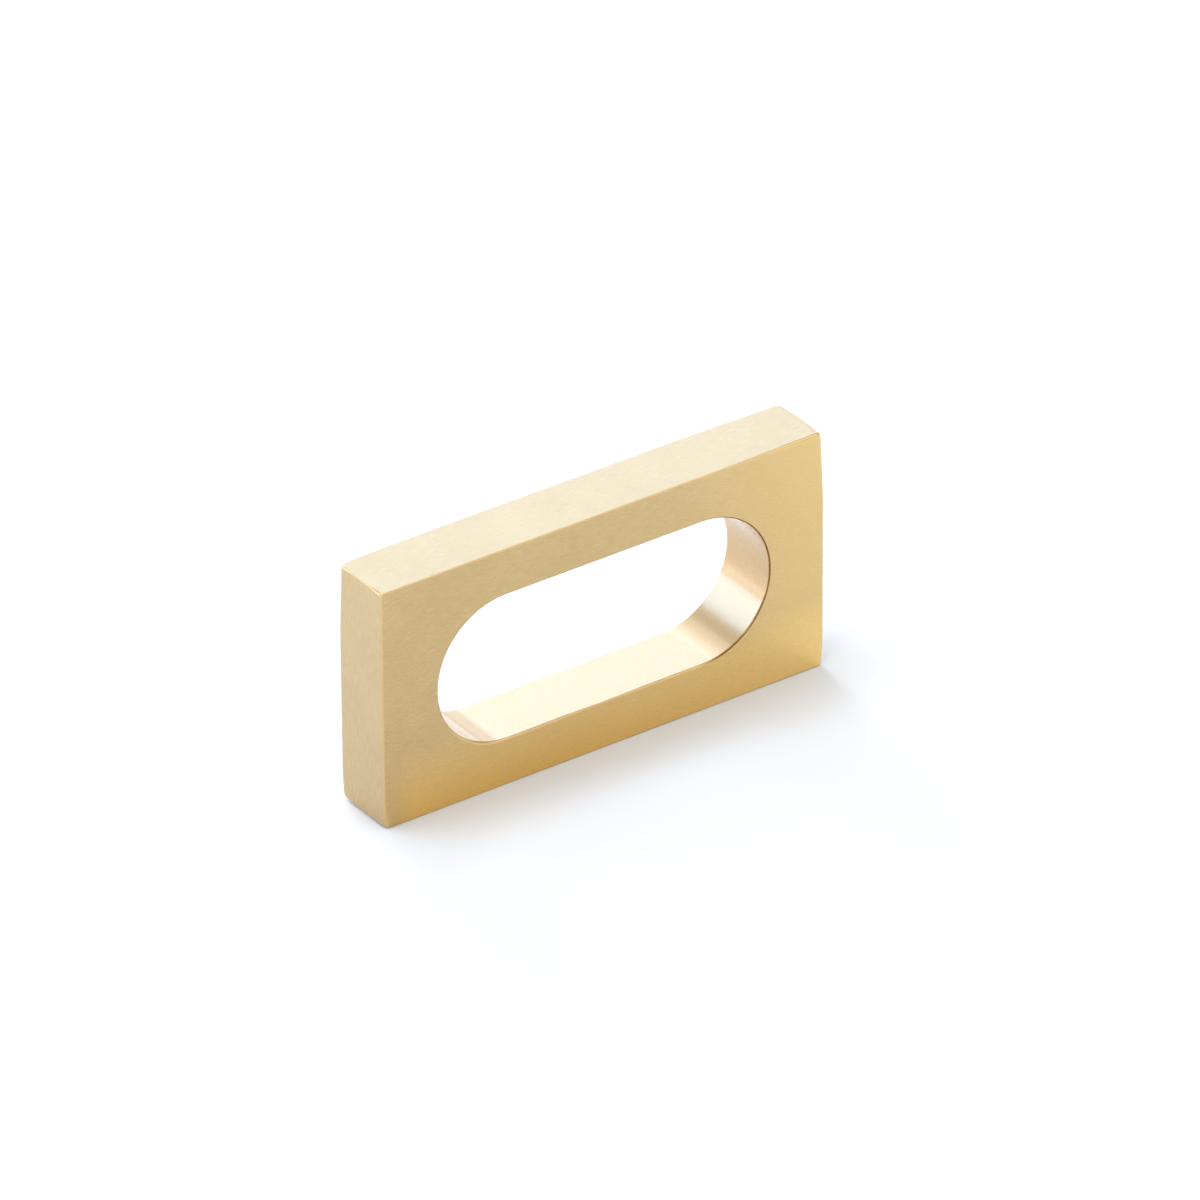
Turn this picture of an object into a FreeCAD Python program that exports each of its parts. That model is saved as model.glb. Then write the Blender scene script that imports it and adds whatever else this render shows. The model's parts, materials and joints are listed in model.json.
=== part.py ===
import FreeCAD, Part
import math
import os

from FreeCAD import Vector

# A cabinet pull milled from one brass bar: a flat block on its edge, with a slot for the fingers.
# The middle of the mounting edge is the origin. X runs along the bar, Y from the front face to the
# back face, and Z away from the drawer front. All sizes are in millimetres.

# Mounting: two blind tapped holes in the bottom edge, for the screws that come through the drawer front
SCREW_CENTRES = 64.0
SCREW_TO_END = 5.5
THREAD_RADIUS = 2.0
THREAD_HEIGHT = 0.35
THREAD_DEPTH = 10.0
DRILL_RUNOUT = 2.5
DRILL_POINT_ANGLE = 118.0
MOUTH_CHAMFER = 0.3

# Bar
PROJECTION = 38.0
THICKNESS = 10.4
LENGTH = SCREW_CENTRES + 2 * SCREW_TO_END

# Finger slot: what the cutter leaves of the bar round it, and the chamfer round its back rim
END_POST = 9.3
OUTER_RAIL = 7.35
MOUNTING_RAIL = 7.45
BACK_RIM_CHAMFER = 0.25

# Edges: grades of round, from as they were milled to worn back by the polishing wheel
CRISP_ROUND = 0.18
FINE_ROUND = 0.3
EASED_ROUND = 0.48
SOFT_ROUND = 0.75
FULL_ROUND = 1.0
BROAD_ROUND = 1.3

# How far from a corner the round of a bar edge reaches its middle value, by the side the corner is on
LEFT_EASE = 8.0
RIGHT_EASE = 18.0
FRONT_EASE = 3.5
BACK_EASE = 3.5
BOTTOM_EASE = 5.0
TOP_EASE = 12.0

HALF_LENGTH = LENGTH / 2
HALF_THICKNESS = THICKNESS / 2
LOW_CORNER = (-HALF_LENGTH, -HALF_THICKNESS, 0.0)
HIGH_CORNER = (HALF_LENGTH, HALF_THICKNESS, PROJECTION)

# Sides of the bar along X, Y and Z
LEFT = FRONT = BOTTOM = -1
RIGHT = BACK = TOP = 1
ALONG = 0

# Round of each of the bar's twelve edges at its low end, along its middle and at its high end
EDGE_ROUNDS = {
    (ALONG, FRONT, TOP): (CRISP_ROUND, CRISP_ROUND, EASED_ROUND),
    (ALONG, FRONT, BOTTOM): (CRISP_ROUND, CRISP_ROUND, CRISP_ROUND),
    (ALONG, BACK, TOP): (SOFT_ROUND, FINE_ROUND, SOFT_ROUND),
    (ALONG, BACK, BOTTOM): (BROAD_ROUND, FINE_ROUND, FINE_ROUND),
    (LEFT, ALONG, TOP): (EASED_ROUND, CRISP_ROUND, EASED_ROUND),
    (LEFT, ALONG, BOTTOM): (FULL_ROUND, SOFT_ROUND, FULL_ROUND),
    (RIGHT, ALONG, TOP): (FULL_ROUND, SOFT_ROUND, FULL_ROUND),
    (RIGHT, ALONG, BOTTOM): (SOFT_ROUND, FINE_ROUND, FINE_ROUND),
    (LEFT, FRONT, ALONG): (FULL_ROUND, FINE_ROUND, FINE_ROUND),
    (RIGHT, FRONT, ALONG): (SOFT_ROUND, CRISP_ROUND, FULL_ROUND),
    (LEFT, BACK, ALONG): (SOFT_ROUND, FINE_ROUND, FULL_ROUND),
    (RIGHT, BACK, ALONG): (FINE_ROUND, FINE_ROUND, BROAD_ROUND),
}

# Round of the slot's front rim on the way round it: the centre that the rim turns about there, as a share
# of the way from the slot's middle to the centre of its right end, the angle about that centre, and the round
RIM_ROUNDS = [
    (1.0, -90.0, FINE_ROUND),
    (1.0, 90.0, FINE_ROUND),
    (-1.0, 90.0, FINE_ROUND),
    (-1.0, 180.0, FINE_ROUND),
    (-1.0, 225.0, EASED_ROUND),
    (-1.0, 270.0, FINE_ROUND),
    (-0.5, 270.0, FINE_ROUND),
    (0.0, 270.0, CRISP_ROUND),
    (0.5, 270.0, FINE_ROUND),
]


def stations(low, high, low_ease, high_ease):
    """Places along an edge where its round changes: its two ends, and where each end's easing stops."""
    return [low, low + low_ease, high - high_ease, high]


def rectangle(us, vs):
    """Points in order round a rectangle, with a point at every station along its sides."""
    lower = [(u, vs[0]) for u in us]
    far = [(us[-1], v) for v in vs[1:]]
    upper = [(u, vs[-1]) for u in reversed(us[:-1])]
    near = [(us[0], v) for v in reversed(vs[1:-1])]
    return lower + far + upper + near


def flat_side(points):
    """Flat face inside a closed run of points."""
    return Part.Face(Part.makePolygon(points + points[:1]))


def sharp_block():
    """The bar before its edges are eased, with a vertex wherever the round of an edge changes."""
    xs = stations(-HALF_LENGTH, HALF_LENGTH, LEFT_EASE, RIGHT_EASE)
    ys = stations(-HALF_THICKNESS, HALF_THICKNESS, FRONT_EASE, BACK_EASE)
    zs = stations(0.0, PROJECTION, BOTTOM_EASE, TOP_EASE)
    sides = [flat_side([Vector(x, y, z) for x, z in rectangle(xs, zs)]) for y in (ys[0], ys[-1])]
    sides += [flat_side([Vector(x, y, z) for x, y in rectangle(xs, ys)]) for z in (zs[0], zs[-1])]
    sides += [flat_side([Vector(x, y, z) for y, z in rectangle(ys, zs)]) for x in (xs[0], xs[-1])]
    shell = Part.makeShell(sides)
    shell.sewShape()
    return Part.makeSolid(shell)


def sides_at(point):
    """The bar's sides that a point lies on, one value for each axis, with ALONG where it lies on neither."""
    return tuple(
        -1 if math.isclose(value, low, abs_tol=1e-6) else 1 if math.isclose(value, high) else ALONG
        for value, low, high in zip(point, LOW_CORNER, HIGH_CORNER)
    )


def end_rounds(stretch):
    """Rounds at the two vertices of one stretch of the sharp block's edges."""
    edge = sides_at(stretch.CenterOfMass)
    axis = edge.index(ALONG)
    ends = (stretch.firstVertex().Point, stretch.lastVertex().Point)
    return [EDGE_ROUNDS[edge][1 + sides_at(end)[axis]] for end in ends]


def rounded(shape, rounds):
    """The shape's solid with some edges rounded, each evenly from its first vertex's round to its last's."""
    document = FreeCAD.newDocument("pull")
    sharp = document.addObject("Part::Feature", "Sharp")
    sharp.Shape = shape
    eased = document.addObject("Part::Fillet", "Rounded")
    eased.Base = sharp
    eased.Edges = [
        (number, *rounds(edge)) for number, edge in enumerate(sharp.Shape.Edges, start=1) if rounds(edge)
    ]
    document.recompute()
    return eased.Shape.Solids[0]


def rim_point(share, angle, y):
    """Point of the slot's outline at one depth of the bar."""
    low, high = MOUNTING_RAIL, PROJECTION - OUTER_RAIL
    radius = (high - low) / 2
    centre = share * (HALF_LENGTH - END_POST - radius)
    turn = math.radians(angle)
    return Vector(centre + radius * math.cos(turn), y, low + radius + radius * math.sin(turn))


def slot_cutter():
    """Full-radius slot through the bar from front to back, with a vertex where its rim's round changes."""
    curves = []
    for here, there in zip(RIM_ROUNDS, RIM_ROUNDS[1:] + RIM_ROUNDS[:1]):
        start = rim_point(here[0], here[1], -HALF_THICKNESS)
        end = rim_point(there[0], there[1], -HALF_THICKNESS)
        if here[0] == there[0]:
            middle = rim_point(here[0], (here[1] + there[1]) / 2, -HALF_THICKNESS)
            curves.append(Part.Arc(start, middle, end).toShape())
        else:
            curves.append(Part.LineSegment(start, end).toShape())
    return Part.Face(Part.Wire(curves)).extrude(Vector(0, THICKNESS, 0))


def on_rim(edge, y):
    """Whether an edge belongs to the slot's rim at one depth of the bar."""
    ends = [rim_point(share, angle, y) for share, angle, _ in RIM_ROUNDS]
    return all(any(vertex.Point.isEqual(end, 1e-4) for end in ends) for vertex in edge.Vertexes)


def rim_rounds(edge):
    """Rounds at the two vertices of an edge of the slot's front rim, and nothing for any other edge."""
    if not on_rim(edge, -HALF_THICKNESS):
        return []
    return [
        next(
            radius
            for share, angle, radius in RIM_ROUNDS
            if rim_point(share, angle, -HALF_THICKNESS).isEqual(end.Point, 1e-4)
        )
        for end in (edge.firstVertex(), edge.lastVertex())
    ]


def tapped_hole(x):
    """Cutter for one blind screw hole: chamfered mouth, thread, tap drill below it, and drill point."""
    drill_radius = THREAD_RADIUS - THREAD_HEIGHT
    drill_depth = THREAD_DEPTH + DRILL_RUNOUT
    point_depth = drill_radius / math.tan(math.radians(DRILL_POINT_ANGLE / 2))
    profile = [
        (0.0, 0.0),
        (THREAD_RADIUS + MOUTH_CHAMFER, 0.0),
        (THREAD_RADIUS, MOUTH_CHAMFER),
        (THREAD_RADIUS, THREAD_DEPTH),
        (drill_radius, THREAD_DEPTH + THREAD_HEIGHT),
        (drill_radius, drill_depth),
        (0.0, drill_depth + point_depth),
    ]
    half_section = flat_side([Vector(x + radius, 0, depth) for radius, depth in profile])
    return half_section.revolve(Vector(x, 0, 0), Vector(0, 0, 1), 360)


def pull_body():
    """The whole pull, one solid."""
    body = rounded(sharp_block(), end_rounds).cut(slot_cutter())
    body = rounded(body, rim_rounds)
    body = body.makeChamfer(BACK_RIM_CHAMFER, [edge for edge in body.Edges if on_rim(edge, HALF_THICKNESS)])
    holes = [tapped_hole(side * SCREW_CENTRES / 2) for side in (-1, 1)]
    return body.cut(holes).Solids[0]


os.makedirs("parts", exist_ok=True)
pull_body().exportStep("parts/pull_body.step")
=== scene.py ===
"""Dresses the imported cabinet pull: satin brushed brass on a white studio floor.

The pull's solid comes from the CAD frame. This script gives it its finish, cuts the threads in its two
screw holes, and sets up the floor, the lamps and the camera of the photograph. Blender's unit here is
the metre, and sizes named _mm are millimetres.
"""

import json
import logging
import math
from dataclasses import dataclass, field
from enum import Enum

import bpy
from mathutils import Matrix, Vector


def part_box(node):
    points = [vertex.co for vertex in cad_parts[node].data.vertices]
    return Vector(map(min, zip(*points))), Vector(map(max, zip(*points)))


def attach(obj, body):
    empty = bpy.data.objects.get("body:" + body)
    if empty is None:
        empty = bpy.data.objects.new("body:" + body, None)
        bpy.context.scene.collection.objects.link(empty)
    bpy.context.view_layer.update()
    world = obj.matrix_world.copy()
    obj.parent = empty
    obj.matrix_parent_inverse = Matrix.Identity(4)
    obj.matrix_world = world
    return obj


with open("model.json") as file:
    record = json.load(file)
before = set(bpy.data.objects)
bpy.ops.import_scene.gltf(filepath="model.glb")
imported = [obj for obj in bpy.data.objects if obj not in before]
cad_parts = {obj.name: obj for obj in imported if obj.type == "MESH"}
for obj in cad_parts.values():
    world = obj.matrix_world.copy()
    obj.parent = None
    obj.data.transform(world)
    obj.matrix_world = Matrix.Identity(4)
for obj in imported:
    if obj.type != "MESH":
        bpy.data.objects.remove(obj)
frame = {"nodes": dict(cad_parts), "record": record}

MM = 0.001
BODY = "root"
PULL_NODE = "pull_body"

log = logging.getLogger("cabinet_pull")


def linear(hex_colour: str) -> tuple[float, float, float, float]:
    """Turns an sRGB hex colour into the linear one that Blender's sockets take.

    Args:
        hex_colour: Colour as #RRGGBB.

    Returns:
        Linear red, green and blue, and an alpha of 1.
    """
    levels = [int(hex_colour[place:place + 2], 16) / 255 for place in (1, 3, 5)]
    red, green, blue = (
        level / 12.92 if level <= 0.04045 else ((level + 0.055) / 1.055) ** 2.4 for level in levels
    )
    return red, green, blue, 1.0


def add_node(
    tree: bpy.types.NodeTree,
    kind: str,
    settings: dict[str | int, object] | None = None,
    links: dict[str | int, bpy.types.NodeSocket] | None = None,
) -> bpy.types.Node:
    """Adds one node to a tree, sets it and links its inputs.

    Args:
        tree: Node tree of a material or a world.
        kind: Blender's name for the type of node.
        settings: Values by the name or number of an input, or by the name of the node's own property.
        links: Output sockets by the name or number of the input that each one feeds.

    Returns:
        The new node.
    """
    node = tree.nodes.new(kind)
    for name, value in (settings or {}).items():
        if isinstance(name, str) and hasattr(node, name):
            setattr(node, name, value)
        else:
            node.inputs[name].default_value = value
    for name, output in (links or {}).items():
        tree.links.new(output, node.inputs[name])
    return node


def empty_tree(owner: bpy.types.Material | bpy.types.World) -> bpy.types.NodeTree:
    """Gives a material or world an empty node tree.

    Args:
        owner: Material or world to clear.

    Returns:
        Its node tree.
    """
    owner.use_nodes = True
    owner.node_tree.nodes.clear()
    return owner.node_tree


class Join(Enum):
    """Way to join shares: where all of them show, or where any of them does."""

    ALL = "MULTIPLY"
    ANY = "MAXIMUM"


def joined(
    tree: bpy.types.NodeTree, join: Join, *shares: bpy.types.NodeSocket
) -> bpy.types.NodeSocket:
    """Joins outputs that each run from 0 to 1.

    Args:
        tree: Node tree of a material or a world.
        join: Way to join them.
        shares: Outputs to join, two or more.

    Returns:
        One output that runs from 0 to 1.
    """
    so_far = shares[0]
    for share in shares[1:]:
        so_far = add_node(
            tree, "ShaderNodeMath", {"operation": join.value}, {0: so_far, 1: share}
        ).outputs[0]
    return so_far


def seen_rays(tree: bpy.types.NodeTree) -> bpy.types.NodeSocket:
    """Tells rays that look at the white background from those that only light the scene.

    Args:
        tree: Node tree of the floor or the world.

    Returns:
        Output that is 1 for camera, mirror and glass rays and 0 for others.
    """
    path = add_node(tree, "ShaderNodeLightPath")
    kinds = ("Is Camera Ray", "Is Glossy Ray", "Is Transmission Ray")
    return joined(tree, Join.ANY, *(path.outputs[kind] for kind in kinds))


class Grain(Enum):
    """Way that the lines of a face run: True for each axis that they are long in."""

    ALONG_BAR = (True, False, False)
    UP_POST = (False, False, True)
    ROUND_SLOT = (True, False, True)
    THROUGH_SLOT = (False, True, False)


@dataclass
class PullSurface:
    """What a material's nodes know of a spot on the pull: where it is, and which way it faces.

    Attributes:
        tree: The material's node tree.
        low: The pull's lowest corner.
        high: The pull's highest corner.
        slot_margin_mm: The slot's rims lie further than this from the bar's outline, its own edges nearer.
        sideways: Share of the normal along Y, below which a spot in the opening is on the slot's wall.
        endways: Share of the normal along X, above which a spot is on an end face.
        place: Position on the object in millimetres.
        spot: Node whose outputs are the position's X, Y and Z.
        normal: The surface's normal.
        facing: Node whose outputs are the sizes of the normal's X, Y and Z.
        opening: 1 well inside the bar's outline, so on the slot's wall and rims and round them.
        slot: 1 on the slot's wall.
        end_face: 1 on the two end faces.
    """

    tree: bpy.types.NodeTree
    low: Vector
    high: Vector
    slot_margin_mm: float = 4.0
    sideways: float = 0.5
    endways: float = math.sqrt(0.5)
    place: bpy.types.NodeSocket = field(init=False)
    spot: bpy.types.Node = field(init=False)
    normal: bpy.types.NodeSocket = field(init=False)
    facing: bpy.types.Node = field(init=False)
    opening: bpy.types.NodeSocket = field(init=False)
    slot: bpy.types.NodeSocket = field(init=False)
    end_face: bpy.types.NodeSocket = field(init=False)

    def __post_init__(self) -> None:
        """Adds the nodes that all the patterns of a finish share."""
        shape = add_node(self.tree, "ShaderNodeTexCoord")
        self.place = add_node(
            self.tree,
            "ShaderNodeVectorMath",
            {"operation": "SCALE", "Scale": 1 / MM},
            {0: shape.outputs["Object"]},
        ).outputs[0]
        self.spot = add_node(self.tree, "ShaderNodeSeparateXYZ", links={0: self.place})
        self.normal = add_node(self.tree, "ShaderNodeNewGeometry").outputs["Normal"]
        sizes = add_node(
            self.tree, "ShaderNodeVectorMath", {"operation": "ABSOLUTE"}, {0: self.normal}
        )
        self.facing = add_node(self.tree, "ShaderNodeSeparateXYZ", links={0: sizes.outputs[0]})
        self.opening = self.well_inside()
        wall = add_node(
            self.tree,
            "ShaderNodeMath",
            {"operation": "LESS_THAN", 1: self.sideways},
            {0: self.facing.outputs["Y"]},
        )
        self.slot = joined(self.tree, Join.ALL, self.opening, wall.outputs[0])
        self.end_face = add_node(
            self.tree,
            "ShaderNodeMath",
            {"operation": "GREATER_THAN", 1: self.endways},
            {0: self.facing.outputs["X"]},
        ).outputs[0]

    def well_inside(self) -> bpy.types.NodeSocket:
        """Finds what lies well inside the bar's outline.

        Returns:
            Output that is 1 there and 0 near the outline.
        """
        middle = (self.low + self.high) / 2 / MM
        reach = (self.high - self.low) / 2 / MM
        offset = add_node(
            self.tree, "ShaderNodeVectorMath", {"operation": "SUBTRACT", 1: middle}, {0: self.place}
        )
        distance = add_node(
            self.tree, "ShaderNodeVectorMath", {"operation": "ABSOLUTE"}, {0: offset.outputs[0]}
        )
        depth = add_node(
            self.tree,
            "ShaderNodeVectorMath",
            {"operation": "SUBTRACT", 0: reach},
            {1: distance.outputs[0]},
        )
        depth = add_node(self.tree, "ShaderNodeSeparateXYZ", links={0: depth.outputs[0]})
        least = add_node(
            self.tree,
            "ShaderNodeMath",
            {"operation": "MINIMUM"},
            {0: depth.outputs["X"], 1: depth.outputs["Z"]},
        )
        return add_node(
            self.tree,
            "ShaderNodeMath",
            {"operation": "GREATER_THAN", 1: self.slot_margin_mm},
            {0: least.outputs[0]},
        ).outputs[0]

    def fade(self, axis: str, start_mm: float, full_mm: float) -> bpy.types.NodeSocket:
        """Fades something in from one place to another.

        Args:
            axis: Axis to fade along, X, Y or Z.
            start_mm: Where it starts to show.
            full_mm: Where it shows fully.

        Returns:
            Output that runs from 0 at the start to 1.
        """
        return add_node(
            self.tree,
            "ShaderNodeMapRange",
            {"From Min": start_mm, "From Max": full_mm},
            {"Value": self.spot.outputs[axis]},
        ).outputs[0]


@dataclass(frozen=True)
class SatinBrass:
    """Solid brass, milled, brushed on a fine belt and sealed with clear lacquer.

    The belt's hair-fine lines run along the bar and up its ends. They spread a lamp's reflection across
    them, so that each face glows softly and mirrors nothing. The lacquer lays a pale veil over the gold
    where it faces something bright. Painted reflections lie over the gold too: a deeper gold low on the
    broad faces for the shaded floor they mirror, painted brighter low down towards the right, a painted
    highlight that lightens the broad faces towards the right, a painted reflection tone on the rounded
    edges and a painted dark reflection in brown on the slot's rim at its right end. The slot keeps the
    cutter's feed lines round it and its fine chatter through it, which spreads a reflection round the curve.
    """

    name: str = "Brass, belt brushed and lacquered"

    # Tones of the metal: on the ridges between its lines, in the lines and in the slot, then painted
    # highlights and painted reflections
    gold: str = "#CDAF78"
    lined_gold: str = "#BFA067"
    milled_gold: str = "#CEAB7A"
    # Painted light, not the metal's own colour: a painted reflection of the shaded floor low on the broad
    # faces, a painted highlight low down, a painted reflection on the edges, a painted dark reflection on
    # the slot's rim and a painted highlight towards the right
    painted_low_reflection_gold: str = "#E6BA62"
    painted_low_highlight_gold: str = "#F8D07E"
    painted_edge_reflection_gold: str = "#D0AE70"
    painted_dark_rim_gold: str = "#8A5210"
    painted_right_highlight_gold: str = "#DBBA75"

    # Gloss: a fine belt's satin, a little smoother in the slot, under lacquer that flowed out smooth
    metallic: float = 1.0
    roughness: float = 0.30
    slot_roughness: float = 0.28
    across_grain: float = 0.5
    lacquer: float = 1.0
    lacquer_roughness: float = 0.14

    # Brushed lines. A fine belt's are about 0.03 mm wide, which is too fine to show, so they are drawn wider
    line_width_mm: float = 0.10
    line_length_mm: float = 2.0
    line_depth_mm: float = 0.0003
    line_detail: float = 2.0
    line_breaks: float = 0.6
    # Levels of a line's bottom and of a ridge, and how much rougher and smoother than the rest they are
    line_low: float = 0.3
    line_high: float = 0.7
    ripple: float = 0.05

    # Faint cloudiness of hand polishing, and how it and the lines together set the tone of the metal
    mottle_mm: float = 9.0
    mottle_detail: float = 3.0
    mottle_share: float = 0.3
    tone_spread: float = 0.15
    lined_share: float = 0.9

    # How far the lines fade to a level between line and ridge, on top of the bar and in the slot
    even_level: float = 0.5
    calm: float = 0.40
    milled_calm: float = 0.70

    # Rounded edges: how squarely a spot faces along an axis where an edge starts and where it is full
    edge_start: float = 0.99
    edge_full: float = 0.90

    # Painted reflection of the shaded floor, a deeper gold low on the broad faces: the heights where it
    # starts and is full, how far from the left end it is full, and how far to each side of the right end it
    # fades
    painted_low_reflection_start_mm: float = 12.0
    painted_low_reflection_full_mm: float = 1.0
    painted_low_reflection_end_mm: float = 5.0
    painted_low_reflection_fade_mm: float = 40.0

    # Where the painted highlight towards the right of the faces, the painted highlight low down and the
    # painted dark reflection on the slot's rim start and are full along the bar
    painted_right_highlight_start_mm: float = 12.0
    painted_highlights_full_mm: float = 45.0
    painted_low_highlight_start_mm: float = -6.0
    painted_dark_rim_start_mm: float = 16.0
    painted_dark_rim_full_mm: float = 20.0

    def lines(self, surface: PullSurface, grain: Grain) -> bpy.types.NodeSocket:
        """Draws the brushed lines of one direction.

        Args:
            surface: The surface that they are drawn on.
            grain: Way that the lines run.

        Returns:
            Output that runs from 0 in the bottom of a line to 1 on the ridge between lines.
        """
        stretch = [
            1 / self.line_length_mm if along else 1 / self.line_width_mm for along in grain.value
        ]
        stretched = add_node(
            surface.tree,
            "ShaderNodeVectorMath",
            {"operation": "MULTIPLY", 1: stretch},
            {0: surface.place},
        )
        # The place is stretched to the lines' own size already, so the noise isn't scaled again
        return add_node(
            surface.tree,
            "ShaderNodeTexNoise",
            {"Scale": 1.0, "Detail": self.line_detail, "Roughness": self.line_breaks},
            {"Vector": stretched.outputs[0]},
        ).outputs[0]

    def grain(self, surface: PullSurface) -> bpy.types.NodeSocket:
        """Draws the lines of every face, which are fainter on top of the bar and in the slot.

        Args:
            surface: The surface that they are drawn on.

        Returns:
            Output that runs from 0 in the bottom of a line to 1 on the ridge between lines.
        """
        outside = add_node(
            surface.tree,
            "ShaderNodeMix",
            links={
                "Factor": surface.end_face,
                "A": self.lines(surface, Grain.ALONG_BAR),
                "B": self.lines(surface, Grain.UP_POST),
            },
        )
        all_over = add_node(
            surface.tree,
            "ShaderNodeMix",
            links={
                "Factor": surface.slot,
                "A": outside.outputs["Result"],
                "B": self.lines(surface, Grain.ROUND_SLOT),
            },
        )
        upward = add_node(
            surface.tree,
            "ShaderNodeMath",
            {"operation": "MULTIPLY", 1: self.calm},
            {0: surface.facing.outputs["Z"]},
        )
        milled = add_node(
            surface.tree,
            "ShaderNodeMath",
            {"operation": "MULTIPLY", 1: self.milled_calm},
            {0: surface.slot},
        )
        return add_node(
            surface.tree,
            "ShaderNodeMix",
            {"B": self.even_level},
            {
                "Factor": joined(surface.tree, Join.ANY, upward.outputs[0], milled.outputs[0]),
                "A": all_over.outputs["Result"],
            },
        ).outputs["Result"]

    def across(self, surface: PullSurface) -> bpy.types.NodeSocket:
        """Finds the direction across the fine lines, in which they spread a reflection.

        Args:
            surface: The surface that the lines are on.

        Returns:
            Output with the direction.
        """
        outside = add_node(
            surface.tree,
            "ShaderNodeMix",
            {"data_type": "VECTOR", "A": Grain.ALONG_BAR.value, "B": Grain.UP_POST.value},
            {"Factor": surface.end_face},
        )
        along = add_node(
            surface.tree,
            "ShaderNodeMix",
            {"data_type": "VECTOR", "B": Grain.THROUGH_SLOT.value},
            {"Factor": surface.slot, "A": outside.outputs["Result"]},
        )
        return add_node(
            surface.tree,
            "ShaderNodeVectorMath",
            {"operation": "CROSS_PRODUCT"},
            {0: surface.normal, 1: along.outputs["Result"]},
        ).outputs[0]

    def metal(self, surface: PullSurface, lines: bpy.types.NodeSocket) -> bpy.types.NodeSocket:
        """Mixes the gold of the ridges with that of the lines, unevenly over the surface.

        Args:
            surface: The surface to colour.
            lines: Output that is 0 in the bottom of a line and 1 on the ridge between lines.

        Returns:
            Output with the colour.
        """
        mottle = add_node(
            surface.tree,
            "ShaderNodeTexNoise",
            {"Scale": 1 / self.mottle_mm, "Detail": self.mottle_detail},
            {"Vector": surface.place},
        )
        uneven = add_node(
            surface.tree,
            "ShaderNodeMath",
            {"operation": "MULTIPLY_ADD", 1: self.mottle_share},
            {0: mottle.outputs[0], 2: lines},
        )
        middle = (1 + self.mottle_share) / 2
        share = add_node(
            surface.tree,
            "ShaderNodeMapRange",
            {
                "From Min": middle - self.tone_spread,
                "From Max": middle + self.tone_spread,
                "To Min": self.lined_share,
                "To Max": 0.0,
            },
            {"Value": uneven.outputs[0]},
        )
        return add_node(
            surface.tree,
            "ShaderNodeMix",
            {"data_type": "RGBA", "A": linear(self.gold), "B": linear(self.lined_gold)},
            {"Factor": share.outputs[0]},
        ).outputs["Result"]

    def on_edge(self, surface: PullSurface) -> bpy.types.NodeSocket:
        """Finds the rounded edges, where the surface faces along no axis and not straight into the slot.

        Args:
            surface: The surface to look at.

        Returns:
            Output that is 1 in the middle of an edge and 0 on the faces.
        """
        facing = surface.facing.outputs
        squarest = joined(surface.tree, Join.ANY, facing["X"], facing["Z"], surface.slot, facing["Y"])
        return add_node(
            surface.tree,
            "ShaderNodeMapRange",
            {"From Min": self.edge_start, "From Max": self.edge_full},
            {"Value": squarest},
        ).outputs[0]

    def tones(self, surface: PullSurface) -> list[tuple[str, bpy.types.NodeSocket]]:
        """Lists the tones that lie over the metal's own gold: the slot's gold, then painted highlights and
        reflections.

        Args:
            surface: The surface to colour.

        Returns:
            Each tone, as #RRGGBB, with an output that is 1 where it covers the ones before it.
        """
        tree = surface.tree
        left_end = surface.low.x / MM
        right_end = surface.high.x / MM
        broad_face = surface.facing.outputs["Y"]
        low_down = joined(
            tree, Join.ALL, broad_face, surface.fade("Z", self.painted_low_reflection_start_mm, self.painted_low_reflection_full_mm)
        )
        painted_low_reflection = joined(
            # Painted reflection of the shaded floor: deeper gold low on the broad faces, fading out at both
            # ends
            tree,
            Join.ALL,
            low_down,
            surface.fade("X", left_end, left_end + self.painted_low_reflection_end_mm),
            surface.fade("X", right_end + self.painted_low_reflection_fade_mm, right_end - self.painted_low_reflection_fade_mm),
        )
        # Painted highlight: brighter gold low on the broad faces towards the right
        painted_low_highlight = joined(
            tree, Join.ALL, low_down, surface.fade("X", self.painted_low_highlight_start_mm, self.painted_highlights_full_mm)
        )
        # Painted highlight: the broad faces lighter towards the right
        painted_right_highlight = joined(
            tree, Join.ALL, broad_face, surface.fade("X", self.painted_right_highlight_start_mm, self.painted_highlights_full_mm)
        )
        # The rounded edges, which take a painted reflection tone and, on the slot's rim, the painted dark
        # reflection
        edge = self.on_edge(surface)
        # Painted dark reflection: brown on the slot's rim towards its right end
        painted_dark_rim = joined(
            tree,
            Join.ALL,
            edge,
            surface.opening,
            surface.fade("X", self.painted_dark_rim_start_mm, self.painted_dark_rim_full_mm),
        )
        return [
            (self.milled_gold, surface.slot),
            # After the slot's gold, all these are painted light: highlights, reflections and a dark
            # reflection on the rim
            (self.painted_right_highlight_gold, painted_right_highlight),
            (self.painted_low_reflection_gold, painted_low_reflection),
            (self.painted_low_highlight_gold, painted_low_highlight),
            (self.painted_edge_reflection_gold, edge),
            (self.painted_dark_rim_gold, painted_dark_rim),
        ]

    def colour(self, surface: PullSurface, lines: bpy.types.NodeSocket) -> bpy.types.NodeSocket:
        """Lays the tones of gold over the surface, each over the ones before it.

        Args:
            surface: The surface to colour.
            lines: Output that is 0 in the bottom of a line and 1 on the ridge between lines.

        Returns:
            Output with the colour.
        """
        gold = self.metal(surface, lines)
        for tone, share in self.tones(surface):
            gold = add_node(
                surface.tree,
                "ShaderNodeMix",
                {"data_type": "RGBA", "B": linear(tone)},
                {"Factor": share, "A": gold},
            ).outputs["Result"]
        return gold

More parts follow.
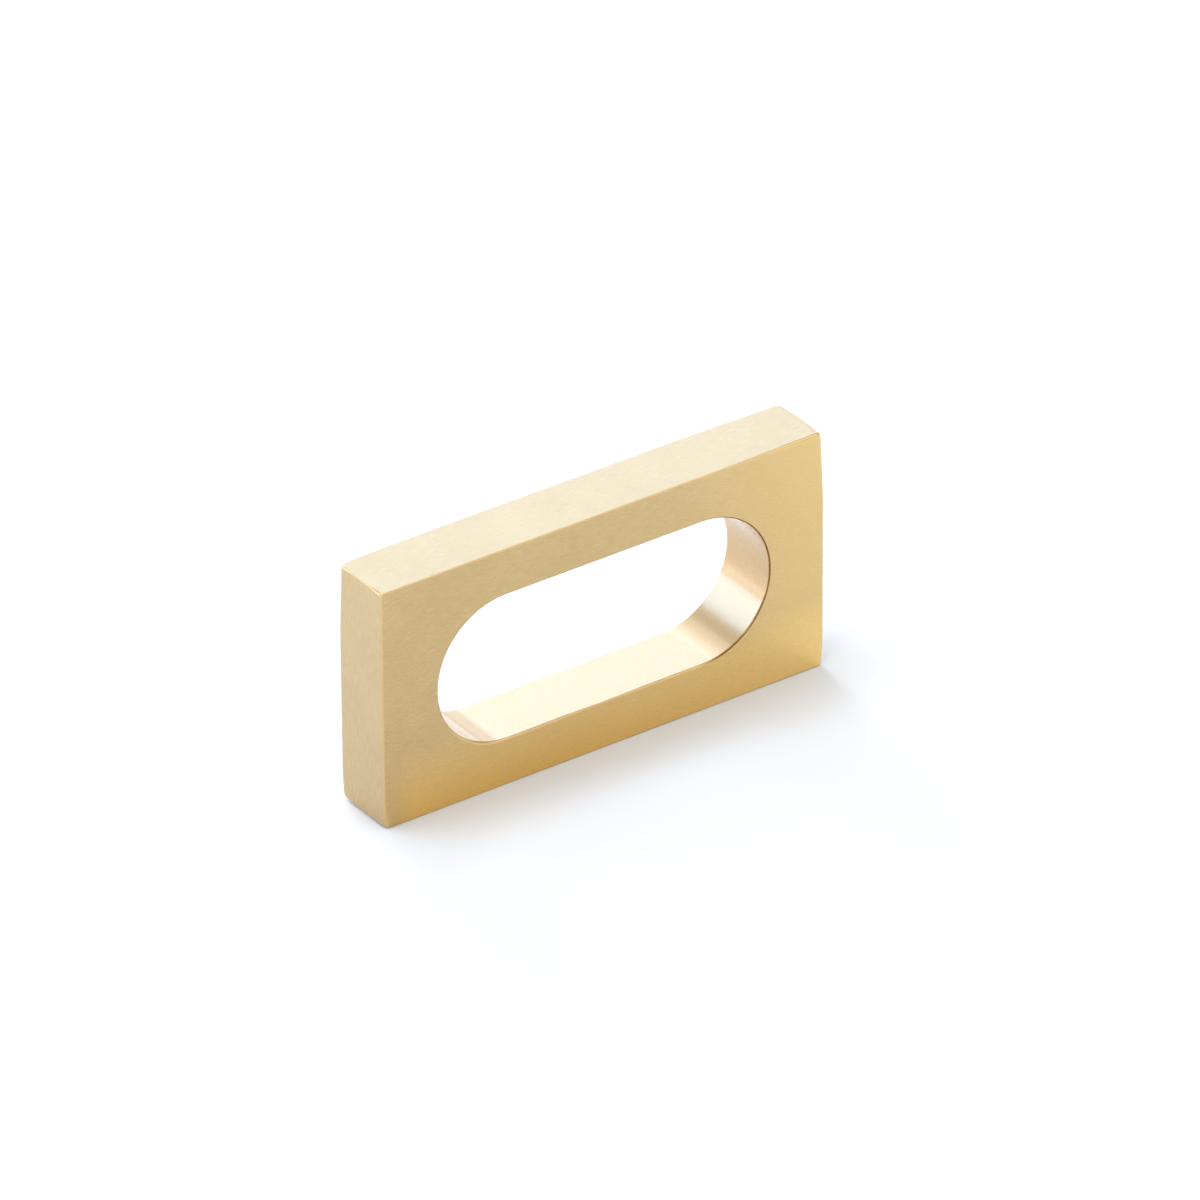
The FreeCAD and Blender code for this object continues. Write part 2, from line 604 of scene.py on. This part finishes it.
    def gloss(self, surface: PullSurface, lines: bpy.types.NodeSocket) -> bpy.types.NodeSocket:
        """Sets how rough the metal is, which is a little more in the lines than between them.

        Args:
            surface: The surface to set.
            lines: Output that is 0 in the bottom of a line and 1 on the ridge between lines.

        Returns:
            Output with the roughness.
        """
        level = add_node(
            surface.tree,
            "ShaderNodeMix",
            {"A": self.roughness, "B": self.slot_roughness},
            {"Factor": surface.slot},
        )
        ripple = add_node(
            surface.tree,
            "ShaderNodeMapRange",
            {
                "From Min": self.line_low,
                "From Max": self.line_high,
                "To Min": self.ripple,
                "To Max": -self.ripple,
            },
            {"Value": lines},
        )
        return add_node(
            surface.tree,
            "ShaderNodeMath",
            {"operation": "ADD"},
            {0: level.outputs["Result"], 1: ripple.outputs[0]},
        ).outputs[0]

    def material(self, low: Vector, high: Vector) -> bpy.types.Material:
        """Builds the finish.

        Args:
            low: The pull's lowest corner.
            high: The pull's highest corner.

        Returns:
            The material.
        """
        brass = bpy.data.materials.new(self.name)
        tree = empty_tree(brass)
        surface = PullSurface(tree, low, high)
        lines = self.grain(surface)
        relief = add_node(
            tree, "ShaderNodeBump", {"Distance": self.line_depth_mm * MM}, {"Height": lines}
        )
        shader = add_node(
            tree,
            "ShaderNodeBsdfPrincipled",
            {
                "Metallic": self.metallic,
                "Anisotropic": self.across_grain,
                "Coat Weight": self.lacquer,
                "Coat Roughness": self.lacquer_roughness,
            },
            {
                "Base Color": self.colour(surface, lines),
                "Roughness": self.gloss(surface, lines),
                "Normal": relief.outputs[0],
                "Tangent": self.across(surface),
            },
        )
        add_node(tree, "ShaderNodeOutputMaterial", links={"Surface": shader.outputs[0]})
        return brass


@dataclass
class PullBody:
    """The pull's one solid, as packed from the CAD."""

    finish: SatinBrass
    node: str = PULL_NODE

    def dress(self) -> bpy.types.Object:
        """Puts the finish on the CAD node.

        Returns:
            The node's object.
        """
        body = frame["nodes"][self.node]
        material = self.finish.material(*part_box(self.node))
        for holder in body.material_slots:
            holder.material = material
        return body


@dataclass
class ScrewThread:
    """Ridge of the M4 coarse thread that is tapped in one blind screw hole."""

    name: str
    centre: Vector
    radius_mm: float
    finish: bpy.types.Material
    pitch_mm: float = 0.7
    first_turn_mm: float = 0.45
    last_turn_mm: float = 9.9
    steps_per_turn: int = 48

    # The ridge's foot is sunk a little into the wall of the hole
    bite_mm: float = 0.02

    # Both ends of the ridge start thin and come to their full height within half a turn
    thin_end: float = 0.05
    run_in_turns: float = 0.5

    # Metric thread form, as shares of the pitch
    ridge_height: float = 0.5413
    half_foot: float = 7 / 16
    half_crest: float = 1 / 8

    def section(self, fullness: float) -> list[tuple[float, float]]:
        """Cross-section of the ridge.

        Args:
            fullness: Height of the ridge as a share of its full height.

        Returns:
            Radius and height of its corners, in millimetres.
        """
        foot = self.radius_mm + self.bite_mm
        crest = self.radius_mm - self.ridge_height * self.pitch_mm * fullness
        half_foot = self.half_foot * self.pitch_mm
        half_crest = self.half_crest * self.pitch_mm
        return [(foot, -half_foot), (crest, -half_crest), (crest, half_crest), (foot, half_foot)]

    def ring(self, step: int, last_step: int) -> list[Vector]:
        """Places the section at one step of the sweep.

        Args:
            step: Number of the step.
            last_step: Number of the sweep's last step.

        Returns:
            The section's corners in metres.
        """
        turns = step / self.steps_per_turn
        rise = self.first_turn_mm + self.pitch_mm * turns
        run_in = self.run_in_turns * self.steps_per_turn
        fullness = min(1.0, self.thin_end + min(step, last_step - step) / run_in)
        across = math.cos(math.tau * turns)
        along = math.sin(math.tau * turns)
        return [
            self.centre + Vector((radius * across, radius * along, rise + height)) * MM
            for radius, height in self.section(fullness)
        ]

    def build(self) -> bpy.types.Object:
        """Sweeps the section round the hole.

        Returns:
            The ridge, which rides on the body.
        """
        turns = (self.last_turn_mm - self.first_turn_mm) / self.pitch_mm
        last_step = round(turns * self.steps_per_turn)
        rings = [self.ring(step, last_step) for step in range(last_step + 1)]
        corners = len(rings[0])
        faces = []
        for step in range(last_step):
            here = corners * step
            there = here + corners
            for side in range(corners):
                beside = (side + 1) % corners
                faces.append([here + side, here + beside, there + beside, there + side])
        faces.append(list(reversed(range(corners))))
        faces.append([corners * last_step + side for side in range(corners)])
        mesh = bpy.data.meshes.new(self.name)
        mesh.from_pydata([corner for ring in rings for corner in ring], [], faces)
        mesh.materials.append(self.finish)
        ridge = bpy.data.objects.new(self.name, mesh)
        bpy.context.scene.collection.objects.link(ridge)
        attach(ridge, BODY)
        return ridge


@dataclass(frozen=True)
class SoftLamp:
    """Square softbox aimed at the pull.

    Attributes:
        name: Name of the lamp.
        azimuth: Degrees round from the pull's right end, behind it, to its left end and its front.
        elevation: Degrees above the floor.
        power: Power in watts.
        colour: Colour as #RRGGBB.
        width: Side of the softbox in metres.
        distance: Distance from the pull in metres.
    """

    name: str
    azimuth: float
    elevation: float
    power: float
    colour: str = "#FFFFFF"
    width: float = 0.3
    distance: float = 0.9

    def build(self, aim: Vector) -> bpy.types.Object:
        """Hangs the lamp.

        Args:
            aim: Point that the lamp shines at.

        Returns:
            The lamp.
        """
        light = bpy.data.lights.new(self.name, "AREA")
        light.size = self.width
        light.energy = self.power
        light.color = linear(self.colour)[:3]
        lamp = bpy.data.objects.new(self.name, light)
        turn = math.radians(self.azimuth)
        tilt = math.radians(self.elevation)
        outward = Vector(
            (math.cos(tilt) * math.cos(turn), math.cos(tilt) * math.sin(turn), math.sin(tilt))
        )
        lamp.location = aim + outward * self.distance
        lamp.rotation_euler = outward.to_track_quat("Z", "Y").to_euler()
        bpy.context.scene.collection.objects.link(lamp)
        return lamp


# Daylight behind the pull, from the deepest blue to the palest
DEEP_SKY = "#95C1FF"
SKY = "#ADCBFF"
SOFT_SKY = "#B7D4FF"
PALE_SKY = "#CBE4FF"

SOFT_LAMPS = (
    SoftLamp("back_low_softbox", azimuth=80, elevation=10, power=5.39),
    SoftLamp("back_left_softbox", azimuth=127, elevation=21, power=2.88, colour=DEEP_SKY, width=0.55),
    SoftLamp("back_right_softbox", azimuth=57, elevation=31, power=0.65, colour=SOFT_SKY),
    SoftLamp("back_right_low_softbox", azimuth=49, elevation=16, power=0.20, colour=PALE_SKY),
    SoftLamp("back_right_high_softbox", azimuth=70, elevation=40, power=0.15, colour=SKY, width=0.2),
    SoftLamp("back_high_softbox", azimuth=80, elevation=42, power=0.58, colour=PALE_SKY, width=0.4),
    SoftLamp("left_high_softbox", azimuth=160, elevation=55, power=1.00),
    SoftLamp("front_left_high_softbox", azimuth=210, elevation=45, power=0.99),
    SoftLamp("overhead_softbox", azimuth=120, elevation=78, power=1.60),
    SoftLamp("right_high_softbox", azimuth=345, elevation=54, power=0.92, width=0.5),
    SoftLamp("front_right_softbox", azimuth=312, elevation=36, power=0.47, width=0.6),
)


@dataclass(frozen=True)
class MattPaper:
    """White paper sweep, matt, which shows the pull's soft shadow.

    Away from the shadow it glows where it is seen, so that it reads as white there.

    Attributes:
        name: Name of the material.
        white: Colour as #RRGGBB.
        glow_start: Distance from the pull's middle where the glow starts, in metres.
        glow_full: Distance where the glow is full.
    """

    name: str = "Paper, matt white"
    white: str = "#ECECEC"
    glow_start: float = 0.09
    glow_full: float = 0.20

    def material(self) -> bpy.types.Material:
        """Builds the finish.

        Returns:
            The material.
        """
        paper = bpy.data.materials.new(self.name)
        tree = empty_tree(paper)
        shape = add_node(tree, "ShaderNodeTexCoord")
        reach = add_node(
            tree, "ShaderNodeVectorMath", {"operation": "LENGTH"}, {0: shape.outputs["Object"]}
        )
        glow = add_node(
            tree,
            "ShaderNodeMapRange",
            {
                "interpolation_type": "SMOOTHSTEP",
                "From Min": self.glow_start,
                "From Max": self.glow_full,
            },
            {"Value": reach.outputs["Value"]},
        )
        strength = joined(tree, Join.ALL, glow.outputs[0], seen_rays(tree))
        matt = add_node(tree, "ShaderNodeBsdfDiffuse", {"Color": linear(self.white)})
        white = add_node(tree, "ShaderNodeEmission", links={"Strength": strength})
        both = add_node(
            tree, "ShaderNodeAddShader", links={0: matt.outputs[0], 1: white.outputs[0]}
        )
        add_node(tree, "ShaderNodeOutputMaterial", links={"Surface": both.outputs[0]})
        return paper


@dataclass
class Studio:
    """White floor, white surroundings and soft lamps.

    Attributes:
        lamps: The lamps.
        aim: Point that the lamps shine at.
        paper: Finish of the floor.
        floor_radius: Radius of the floor in metres.
        floor_sides: Number of straight sides round the floor.
        floor_gap_mm: How far below the bar the floor lies, so that the two don't show through each other.
        seen_white: Colour of the room where it is seen.
        room_colour: Colour of the light that the room gives the pull.
        room_light: Strength of that light.
        walls: Strength of the walls where they are seen.
        wall_top: Degrees above the floor where the walls start to fade.
        ceiling: Strength of the ceiling where it is seen.
        ceiling_start: Degrees above the floor where the ceiling starts.
    """

    lamps: tuple[SoftLamp, ...]
    aim: Vector
    paper: MattPaper = MattPaper()
    floor_radius: float = 0.9
    floor_sides: int = 96
    floor_gap_mm: float = 0.02
    seen_white: str = "#FFFFFF"
    room_colour: str = "#F5FBFF"
    room_light: float = 0.70
    walls: float = 1.0
    wall_top: float = 14.0
    ceiling: float = 0.7
    ceiling_start: float = 18.0

    def floor(self) -> bpy.types.Object:
        """Lays the floor that the pull stands on.

        Returns:
            The floor.
        """
        angles = [math.tau * side / self.floor_sides for side in range(self.floor_sides)]
        rim = [
            (self.floor_radius * math.cos(angle), self.floor_radius * math.sin(angle), 0.0)
            for angle in angles
        ]
        mesh = bpy.data.meshes.new("floor")
        mesh.from_pydata(rim, [], [range(self.floor_sides)])
        mesh.materials.append(self.paper.material())
        floor = bpy.data.objects.new("floor", mesh)
        floor.location.z = -self.floor_gap_mm * MM
        bpy.context.scene.collection.objects.link(floor)
        return floor

    def surroundings(self) -> bpy.types.World:
        """Makes white walls that fade to a grey ceiling, and a dimmer light that the pull gets from them.

        Returns:
            The world.
        """
        room = bpy.data.worlds.new("White room")
        tree = empty_tree(room)
        direction = add_node(tree, "ShaderNodeTexCoord")
        height = add_node(tree, "ShaderNodeSeparateXYZ", links={0: direction.outputs["Generated"]})
        wall = add_node(
            tree,
            "ShaderNodeMapRange",
            {
                "interpolation_type": "SMOOTHSTEP",
                "From Min": math.sin(math.radians(self.wall_top)),
                "From Max": math.sin(math.radians(self.ceiling_start)),
                "To Min": self.walls,
                "To Max": self.ceiling,
            },
            {"Value": height.outputs["Z"]},
        )
        seen = seen_rays(tree)
        strength = add_node(
            tree,
            "ShaderNodeMapRange",
            {"To Min": self.room_light},
            {"Value": seen, "To Max": wall.outputs[0]},
        )
        colour = add_node(
            tree,
            "ShaderNodeMix",
            {"data_type": "RGBA", "A": linear(self.room_colour), "B": linear(self.seen_white)},
            {"Factor": seen},
        )
        light = add_node(
            tree,
            "ShaderNodeBackground",
            links={"Color": colour.outputs["Result"], "Strength": strength.outputs[0]},
        )
        add_node(tree, "ShaderNodeOutputWorld", links={"Surface": light.outputs[0]})
        bpy.context.scene.world = room
        return room

    def build(self) -> None:
        """Builds the floor, the room and the lamps."""
        floor = self.floor()
        log.info("%s: %d sides", floor.name, self.floor_sides)
        self.surroundings()
        for lamp in self.lamps:
            lamp.build(self.aim)
        log.info("lamps: %d", len(self.lamps))
        bpy.context.scene.view_settings.view_transform = "Standard"


@dataclass(frozen=True)
class PhotoCamera:
    """The photograph's camera: a long lens, above and to the left of the front face.

    Attributes:
        aim_mm: Point in the middle of the picture.
        distance_mm: Distance from that point.
        elevation: Degrees that the camera looks down.
        turn: Degrees that the camera is turned from straight in front of the pull.
        roll: Degrees that the camera is rolled about its own axis.
        lens_mm: Focal length.
        sensor_mm: Width of the sensor.
    """

    aim_mm: tuple[float, float, float] = (2.423, -0.52, 20.776)
    distance_mm: float = 1850.0
    elevation: float = 31.17
    turn: float = -35.17
    roll: float = -0.348
    lens_mm: float = 398.9
    sensor_mm: float = 36.0

    def build(self) -> bpy.types.Object:
        """Places the camera and makes it the scene's own.

        Returns:
            The camera.
        """
        data = bpy.data.cameras.new("photo_camera")
        data.lens = self.lens_mm
        data.sensor_width = self.sensor_mm
        camera = bpy.data.objects.new("photo_camera", data)
        stance = (
            Matrix.Rotation(math.radians(self.turn), 4, "Z")
            @ Matrix.Rotation(math.radians(90 - self.elevation), 4, "X")
            @ Matrix.Rotation(math.radians(self.roll), 4, "Z")
        )
        back = Matrix.Translation((0.0, 0.0, self.distance_mm * MM))
        camera.matrix_world = Matrix.Translation(Vector(self.aim_mm) * MM) @ stance @ back
        bpy.context.scene.collection.objects.link(camera)
        bpy.context.scene.camera = camera
        return camera


def screw_holes() -> list[dict]:
    """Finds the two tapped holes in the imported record's mounts."""
    return [mount for mount in frame["record"]["mounts"] if mount["kind"] == "threaded_hole"]


def main() -> None:
    """Builds the camera, the studio and the pull, and notes the model's size."""
    logging.basicConfig(level=logging.INFO, format="%(message)s")
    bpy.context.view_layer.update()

    PhotoCamera().build()
    low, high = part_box(PULL_NODE)
    Studio(lamps=SOFT_LAMPS, aim=(low + high) / 2).build()

    pull = PullBody(finish=SatinBrass()).dress()
    log.info("%s: %d faces", pull.name, len(pull.data.polygons))
    brass = pull.material_slots[0].material
    for hole in screw_holes():
        mouth = Vector((hole["pos_m"][0], hole["pos_m"][1], low.z))
        name = hole["name"].replace("hole", "thread")
        ridge = ScrewThread(name, mouth, hole["dims"]["r_mm"], brass).build()
        log.info("%s: %d faces", ridge.name, len(ridge.data.polygons))

    bpy.context.view_layer.update()


if __name__ == "__main__":
    main()
